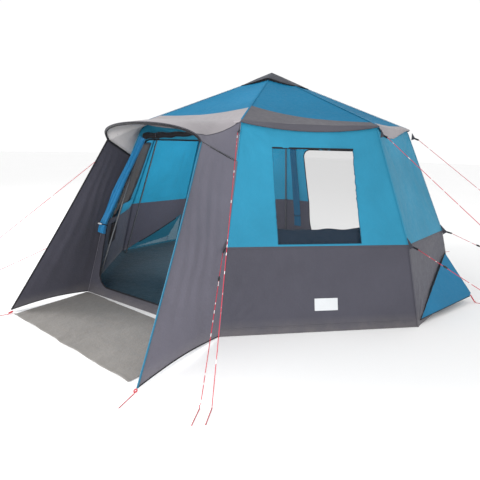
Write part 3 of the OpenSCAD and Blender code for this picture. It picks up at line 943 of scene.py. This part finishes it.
def make_porch_wall(s):
    side = "right" if s > 0 else "left"
    obj = cloth(f"porch_side_{side}", 64, 44, lambda u, v: porch_point(s, u, v),
                "porch_grey" if s > 0 else "grey", flip=s > 0)[0]
    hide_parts(f"porch_wall_{side}")
    on_ground_side(obj, "grey_fabric", PORCH_TALL)
    area = mesh_area(obj)
    edge = [porch_point(s, 1, k / 60) for k in range(61)]
    piping = tube(f"porch_piping_{side}", edge, 0.0065, "piping" if s > 0 else "black", 8)
    on_ground_side(piping, "blue_fabric", PORCH_TALL)
    low = [porch_point(s, k / 40, 0) + UP * 0.002 for k in range(41)]
    on_ground_side(tube(f"porch_hem_{side}", low, 0.0045, "black", 6), "dark_fabric", PORCH_TALL)
    inner = [porch_point(s, 0.0, k / 40) for k in range(41)]
    seam = ribbon(f"porch_seam_{side}", inner, outward(1 if s > 0 else 0), 0.02, 0.003, "porch_grey")
    on_ground_side(seam, "grey_fabric", PORCH_TALL)


# ---------------------------------------------------------------- windows, vents and doors
NET_FOOT, NET_TOP = 0.002, 0.86
NET_OVERLAP = 0.045  # how far a net is sewn on beyond the window's side


def window_net(i):
    """A net behind a window; at its sides it comes forward to the cloth that it is sewn to."""
    wall = UPPER[i]
    half = WINDOW_HALF + NET_OVERLAP

    def place(u, v):
        x, y = -half + 2 * half * u, NET_FOOT + (NET_TOP - NET_FOOT) * v
        sewn = smooth_step(min(u, 1 - u) * 2 * half / NET_OVERLAP)
        wave = 0.001 * noise_at(x * 8, y * 8, 1) * hump(u) * hump(v)
        return wall.at(x, y, (wave - 0.015) * sewn - 0.003 + wall_relief(i, True, x, y, sewn < 0.5))

    return cloth(f"window_net_{SIDES[i]}", 43, 41, place, "mesh_thick" if i == FRONT_LEFT else "mesh")[0]


def make_windows():
    for i in WINDOW_SIDES:
        net = window_net(i)
        stand_for(net, "window_meshes", i == FRONT_RIGHT)
        on_ground_side(net, "mesh_fabric")
        make_curtain(i)


# the dropped curtain in section: out from the wall, and up from the sill
CURTAIN = [(-0.012, 0.01), (-0.012, 0.06), (-0.014, 0.11), (-0.016, 0.145), (-0.022, 0.158), (-0.030, 0.150),
           (-0.036, 0.11), (-0.040, 0.06), (-0.036, 0.025), (-0.030, 0.018), (-0.026, 0.03), (-0.024, 0.07),
           (-0.023, 0.12)]


def make_curtain(i):
    """Inner window curtain, dropped and lying in soft folds behind the sill."""
    half = WINDOW_HALF + 0.012
    columns = 64
    points = []
    for k in range(columns + 1):
        x = -half + 2 * half * k / columns
        droop = 0.016 * noise_at(x * 6, i, 0) - 0.012 * hump(k / columns)
        for j, (out, y) in enumerate(CURTAIN):
            swell = 0.004 * noise_at(x * 14, y * 20, i + j * 0.2)
            y = max(0.008, y + droop * min(1, y / 0.1))
            points.append(UPPER[i].at(x, y, wall_relief(i, True, x, y, False) + out + swell - 0.014))
    faces = [(a, d, c, b) for a, b, c, d in grid_faces(columns + 1, len(CURTAIN))]
    # three of the curtains take the darkened blue, painted shade; the front left one keeps the plain blue
    obj = add_mesh(f"window_curtain_{SIDES[i]}", points, faces, "blue" if i == FRONT_LEFT else "curtain")
    stand_for(obj, "window_curtains", i == FRONT_RIGHT)
    on_ground_side(obj, "blue_fabric")


def make_vents():
    for i, s in ((RIGHT, 1), (LEFT, -1)):
        low, high = VENT_FOOT - 0.012, VENT_TOP + 0.012
        rows = math.ceil((high - low) / 0.03)

        def place(u, v):
            y = low + (high - low) * v
            share = (y - VENT_FOOT) / (VENT_TOP - VENT_FOOT)
            a, b = min(VENT_X, -VENT_X - 0.024 + 2 * VENT_X * share), VENT_X + 0.012
            return LOWER[i].at(s * (a + (b - a) * u), y, -0.007)

        # the vent net carries the shaded blue behind it as its own colour: painted shade
        net = cloth(f"vent_net_{SIDES[i]}", rows, 24, place, "vent_net_painted_shade")[0]
        stand_for(net, "vent_meshes", i == RIGHT)
        on_ground_side(net, "mesh_fabric")
        mesh_area(net)
        make_flap(i, s)


def make_flap(i, s):
    """Vent flap, sewn along the sloping edge and pulled out by its peg."""
    wall = LOWER[i]
    seam_a = wall.at(s * (-VENT_X - 0.012), VENT_FOOT + 0.004, 0.004)
    seam_b = wall.at(s * (VENT_X + 0.010), VENT_TOP + 0.022, 0.004)
    node = f"vent_flap_{SIDES[i]}"
    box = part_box(node)
    drop = Vector((box[1].x if s > 0 else box[0].x, 0.467, 0.084)) - seam_a.lerp(seam_b, 0.8225)
    columns = 48

    def place(u, v):
        # the free corner draws in along the flap
        low = seam_a.lerp(seam_b, 0.80 + 0.045 * u)
        gather = 0.004 * math.exp(-v / 0.12) * math.sin(u * 95 + 3 * math.sin(u * 21))
        sag = -0.008 * hump(v) * hump(min(1, u * 1.05))
        return seam_a.lerp(seam_b, u).lerp(low + drop, v) + wall.normal * (gather + sag) * (1 if v > 0 else 0.4)

    def finish(piece):
        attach(piece, f"flap_{SIDES[i]}")
        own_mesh(piece)

    obj, points = cloth(f"vent_cover_{SIDES[i]}", 30, columns, place, "flap_blue", flip=s > 0)
    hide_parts(node)
    finish(obj)
    max(0.14, min(mesh_area(obj), 0.43))
    finish(tube(f"vent_hem_low_{SIDES[i]}", points[::columns + 1], 0.0035, "black", 6))
    finish(tube(f"vent_hem_rear_{SIDES[i]}", points[columns::columns + 1], 0.003, "piping", 6))
    seam = [p + wall.normal * 0.002 for p in points[:columns + 1]]
    finish(tube(f"vent_seam_{SIDES[i]}", seam, 0.0045, "black", 6))


def gathered(name, path, across, material):
    """A door leaf drawn together: cloth in deep pleats that run along the path."""
    count, pleats, depth = len(path), 5, 0.034
    per = 6 * pleats
    points = []
    for k, p in enumerate(path):
        d = (path[min(count - 1, k + 1)] - path[max(0, k - 1)]).normalized()
        side = (across - d * across.dot(d)).normalized()
        out = d.cross(side)
        share = k / (count - 1)
        width = 0.085 + 0.020 * share
        for q in (j / per for j in range(per + 1)):
            wave = math.sin(q * pleats * 2 * math.pi + 1.5 * share)
            wobble = 0.35 * noise_at(q * 5, share * 3, 2)
            points.append(p + side * (q - 0.5) * width * (1 + 0.1 * wobble) + out * depth * (wave * 0.5 + wobble))
    return add_mesh(name, points, grid_faces(count, per + 1), material)


def along(points, steps):
    """Even steps along straight stretches, eased so that the bends are soft."""
    points = [Vector(p) for p in points]
    last = len(points) - 1
    out = []
    for k in range(steps + 1):
        t = k / steps * last
        j = min(int(t), last - 1)
        out.append(eased(points[max(0, j - 1)], points[j], points[j + 1], points[min(last, j + 2)], t - j))
    return out


# routes of the tied back door leaves, from the head of the doorway down
LEAF_ROUTES = {
    FRONT: ((-0.530, -1.392, 1.525), (-0.575, -1.440, 1.380), (-0.650, -1.567, 1.080), (-0.715, -1.680, 0.800),
            (-0.742, -1.724, 0.680), (-0.752, -1.742, 0.600)),
    REAR: ((-0.500, 1.320, 1.445), (-0.520, 1.390, 1.250), (-0.545, 1.475, 1.060), (-0.565, 1.555, 0.860),
           (-0.580, 1.625, 0.650), (-0.590, 1.690, 0.420), (-0.596, 1.715, 0.290)),
}


def make_doors():
    for i, node in ((FRONT, "front_door"), (REAR, "rear_door")):
        wall = UPPER[i]
        path = along(LEAF_ROUTES[i], 50)
        # the rear leaf takes the darkened door blue, painted shade
        leaf = gathered(f"door_leaf_{SIDES[i]}", path, wall.x, "leaf" if i == FRONT else "rear_leaf_painted_shade")
        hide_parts(node)
        on_ground_side(leaf, "blue_fabric")
        tied = path[40]
        loop = circle(tied, wall.x * 0.058, wall.normal * 0.034, 24)
        on_ground_side(tube(f"door_tie_{SIDES[i]}", loop, 0.005, "black", 6, closed=True), "dark_fabric")
        if i == FRONT:
            bar = [tied + wall.normal * 0.040 + wall.x * (0.026 - 0.052 * k / 6) for k in range(7)]
            toggle = tube(f"door_toggle_{SIDES[i]}", bar, lambda t: 0.0095 - 0.004 * abs(2 * t - 1) ** 3, "white", 10)
            on_ground_side(toggle, "dark_fabric")


def make_mesh_roll():
    """Net door, rolled up in front of the front wall's head, with its two ties."""
    wall = UPPER[FRONT]
    path = [wall.at(-0.50 + 0.92 * k / 60, 0.905 + 0.040 * k / 60 + 0.004 * math.sin(k * 0.5), 0.034)
            for k in range(61)]

    def girth(t):
        return 0.030 - 0.016 * t + 0.004 * noise_at(t * 14, 0, 3)

    roll = tube("net_door_roll", path, girth, "black", 14)
    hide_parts("door_mesh_roll")
    on_ground_side(roll, "mesh_fabric")
    for k in (12, 48):
        wide = girth(k / 60) + 0.0045
        ring = circle(path[k], wall.normal * wide, wall.y * wide, 20)
        on_ground_side(tube(f"roll_tie_{k}", ring, 0.003, "dark", 6, closed=True), "dark_fabric")


def make_pocket():
    x0, x1, y0, y1 = 0.08, 0.40, 0.40, 0.63
    columns = 22

    def place(u, v):
        belly = 0.022 * hump(u) * (0.35 + 0.65 * hump(v * 0.8))
        x, y = x0 + (x1 - x0) * u, y0 + (y1 - y0) * v
        return LOWER[FRONT_LEFT].at(x, y, wall_relief(FRONT_LEFT, False, x, y) - 0.010 - belly)

    obj, points = cloth("net_pocket", 16, columns, place, "mesh_thick")
    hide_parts("storage_pocket")
    on_ground_side(obj, "mesh_fabric")
    on_ground_side(tube("pocket_rim", points[-columns - 1:], 0.004, "black", 6), "dark_fabric")


# ---------------------------------------------------------------- guy points and lines
GUY_PEGS = [(-1.490, -3.190), (1.490, -2.630), (3.650, -1.010), (3.500, 0.980),
            (1.290, 2.740), (-1.290, 2.740), (-2.950, 0.820), (-2.950, -0.820)]
PATCH_LEVELS = {"eave": (1.645, 1.570), "knee": (0.745, 0.640)}  # top and foot of each corner patch
KNEE_PEGS = [(-1.490, -3.190), (1.440, -2.680), *GUY_PEGS[2:]]
LOOP_Z = 0.012


def guy_point(level, i):
    """The ring that a line is tied to, a little below the middle of its patch."""
    ratio, out = (0.726, 0.090) if level == "eave" else (KNEE_R, 0.095)
    p = corner(i) * ratio + outward(i) * out
    p.z = sum(PATCH_LEVELS[level]) / 2 - 0.034
    return p


def sideways(i):
    return Vector((-outward(i).y, outward(i).x, 0))


def make_patch(name, a, b, tip, i):
    """Small stitched triangle that stands out from a corner."""
    end = a.lerp(b, 0.6).lerp(tip, 0.55)

    def place(u, v):
        return a.lerp(b, v).lerp(end, u * 0.97) + sideways(i) * 0.004 * noise_at(u * 4, v * 4, i)

    obj = cloth(name, 12, 8, place, "dark")[0]
    apply_modifier(obj, "SOLIDIFY", thickness=0.0025, offset=0)
    return obj


def make_strap(name, a, b, tip, i):
    """Webbing from the patch out to the ring that the line is tied to."""
    start = a.lerp(b, 0.6).lerp(tip, 0.15)
    return ribbon(name, [start.lerp(tip, k / 10) for k in range(11)], sideways(i), 0.016, 0.003, "black")


def straight(a, b, sag=0.006, n=24):
    """A taut line with the small sag that its own weight gives it."""
    return [a.lerp(b, k / n) - UP * (sag * 4 * (k / n) * (1 - k / n)) for k in range(n + 1)]


GUYS = {"eave": (on_roof_side, GUY_PEGS, 1.0), "knee": (on_ground_side, KNEE_PEGS, 0.992)}


def make_guys():
    for i in range(8):
        for level, (stay, _, _) in GUYS.items():
            z_top, z_low = PATCH_LEVELS[level]
            if level == "eave":
                top, low = ring_point(i, 0.7335, z_top) + outward(i) * 0.004, corner_at(i, z_low) + outward(i) * 0.010
            else:
                top, low = (corner_at(i, z) + outward(i) * 0.003 for z in (z_top, z_low))
            tip = guy_point(level, i)
            patch = make_patch(f"{level}_patch_{i + 1}", top, low, tip, i)
            stand_for(patch, f"{level}_patches", i == 0)
            stay(patch, "dark_fabric")
            stay(make_strap(f"{level}_strap_{i + 1}", top, low, tip, i), "dark_fabric")
        for level, (_, pegs, share) in GUYS.items():
            tip = guy_point(level, i)
            end = Vector((pegs[i][0] * share, pegs[i][1] * share, LOOP_Z))
            line = tube(f"{level}_line_{i + 1}", straight(tip, end), 0.0026, "cord", 6)
            stand_for(line, f"{level}_guy_lines", i == 0)
            on_ground_side(line, "red_cord", tip.z if level == "eave" else TALL)
        make_runner(i, tip, (end - tip).normalized())


def make_runner(i, start, way):
    body = [start + way * (0.250 + 0.040 * k / 8) for k in range(9)]
    runner = tube(f"guy_runner_{i + 1}", body, lambda t: 0.0075 - 0.002 * math.cos(2 * math.pi * t), "plastic", 10)
    stand_for(runner, "guy_runners", i == 0)
    on_ground_side(runner, "black_plastic")


PORCH_LOOPS = {1: ((1.020, -2.786, 0.014), (1.034, -2.812, 0.008)),
               -1: ((-0.815, -2.623, 0.014), (-0.801, -2.662, 0.008))}


def make_peg_loops():
    """Red webbing loops from the porch walls and vent flaps to their pegs."""
    for s in (-1, 1):
        flap_ends = ((s * 2.168, 0.472, 0.080), (s * 2.207, 0.499, 0.010))
        for name, ends in ((f"porch_loop_{s + 2}", PORCH_LOOPS[s]), (f"flap_loop_{s + 2}", flap_ends)):
            a, b = (Vector(e) for e in ends)
            side = (b - a).cross(UP).normalized() * 0.009
            middle = (a + b) / 2
            ring = [a, middle + side, b, middle - side]
            path = [eased(*(ring[(k // 6 + d) % 4] for d in (-1, 0, 1, 2)), k % 6 / 6) for k in range(24)]
            loop = tube(name, path, 0.004, "red", 6, closed=True)
            stand_for(loop, "peg_loops", name == "porch_loop_1")
            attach(loop, GROUND)


def make_label():
    """Plain pale woven patch on the lower wall, with no mark on it."""
    def place(u, v):
        x, y = -0.06 + 0.20 * u, 0.17 + 0.10 * v
        return LOWER[FRONT_RIGHT].at(x, y, wall_relief(FRONT_RIGHT, False, x, y) + 0.0022)

    on_ground_side(cloth("plain_label", 14, 14, place, "white")[0], "light_fabric")


# ---------------------------------------------------------------- CAD nodes that stay
def paint_nodes():
    paints = {"hub": "plastic", "hub_collar": "red_plastic", "roof_arms": "steel",
              "elbow_brackets": "plastic", "pegs": "peg"}
    for i in range(1, 9):
        paints[f"upper_leg_{i}"] = paints[f"lower_leg_{i}"] = "steel"
    for name, material in paints.items():
        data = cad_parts[name].data
        data.materials.clear()
        data.materials.append(MAT[material])


# ---------------------------------------------------------------- studio
def area_light(name, place, aim, size, power):
    data = bpy.data.lights.new(name, "AREA")
    data.shape = "DISK"
    data.size = size
    data.energy = power
    obj = bpy.data.objects.new(name, data)
    obj.location = place
    obj.rotation_euler = (Vector(aim) - Vector(place)).to_track_quat("-Z", "Y").to_euler()
    obj.visible_camera = False
    obj.visible_glossy = name != "inside"
    bpy.context.scene.collection.objects.link(obj)


def make_studio():
    far = 60
    look = Look("studio_floor")
    look.surface(Base_Color=look.mix(look.noise(0.4), (0.93, 0.93, 0.93), (0.95, 0.95, 0.95)), Roughness=0.9)
    MAT["studio"] = look.material
    corners = [(-far, -far, -0.001), (far, -far, -0.001), (far, far, -0.001), (-far, far, -0.001)]
    add_mesh("studio_floor", corners, [(0, 1, 2, 3)], "studio", smooth=False)
    world = bpy.data.worlds.new("studio")
    world.use_nodes = True
    world.node_tree.nodes["Background"].inputs[0].default_value = (1, 1, 1, 1)
    world.node_tree.nodes["Background"].inputs[1].default_value = 1.02
    bpy.context.scene.world = world
    area_light("key", (-7.5, -5.0, 3.6), (0, 0, 1.4), 3.5, 620)
    area_light("fill", (6.0, -8.0, 1.8), (0.4, -0.8, 0.7), 4.0, 200)
    area_light("porch", (1.4, -4.6, 1.5), (-1.1, -2.1, 0.9), 1.2, 40)
    area_light("inside", (0.4, -0.4, 0.70), (-0.9, 0.9, 1.1), 0.6, 60)
    bpy.context.scene.view_settings.view_transform = "Standard"


# ---------------------------------------------------------------- everything
make_camera()
for side in range(8):
    make_wall(side, False)
    make_wall(side, True)
make_binding()
make_seams()
make_floor()
make_mat()
make_roof()
make_bands()
make_cap()
make_awning()
make_porch_wall(1)
make_porch_wall(-1)
make_windows()
make_vents()
make_doors()
make_mesh_roll()
make_pocket()
make_guys()
make_peg_loops()
make_label()
paint_nodes()
make_studio()
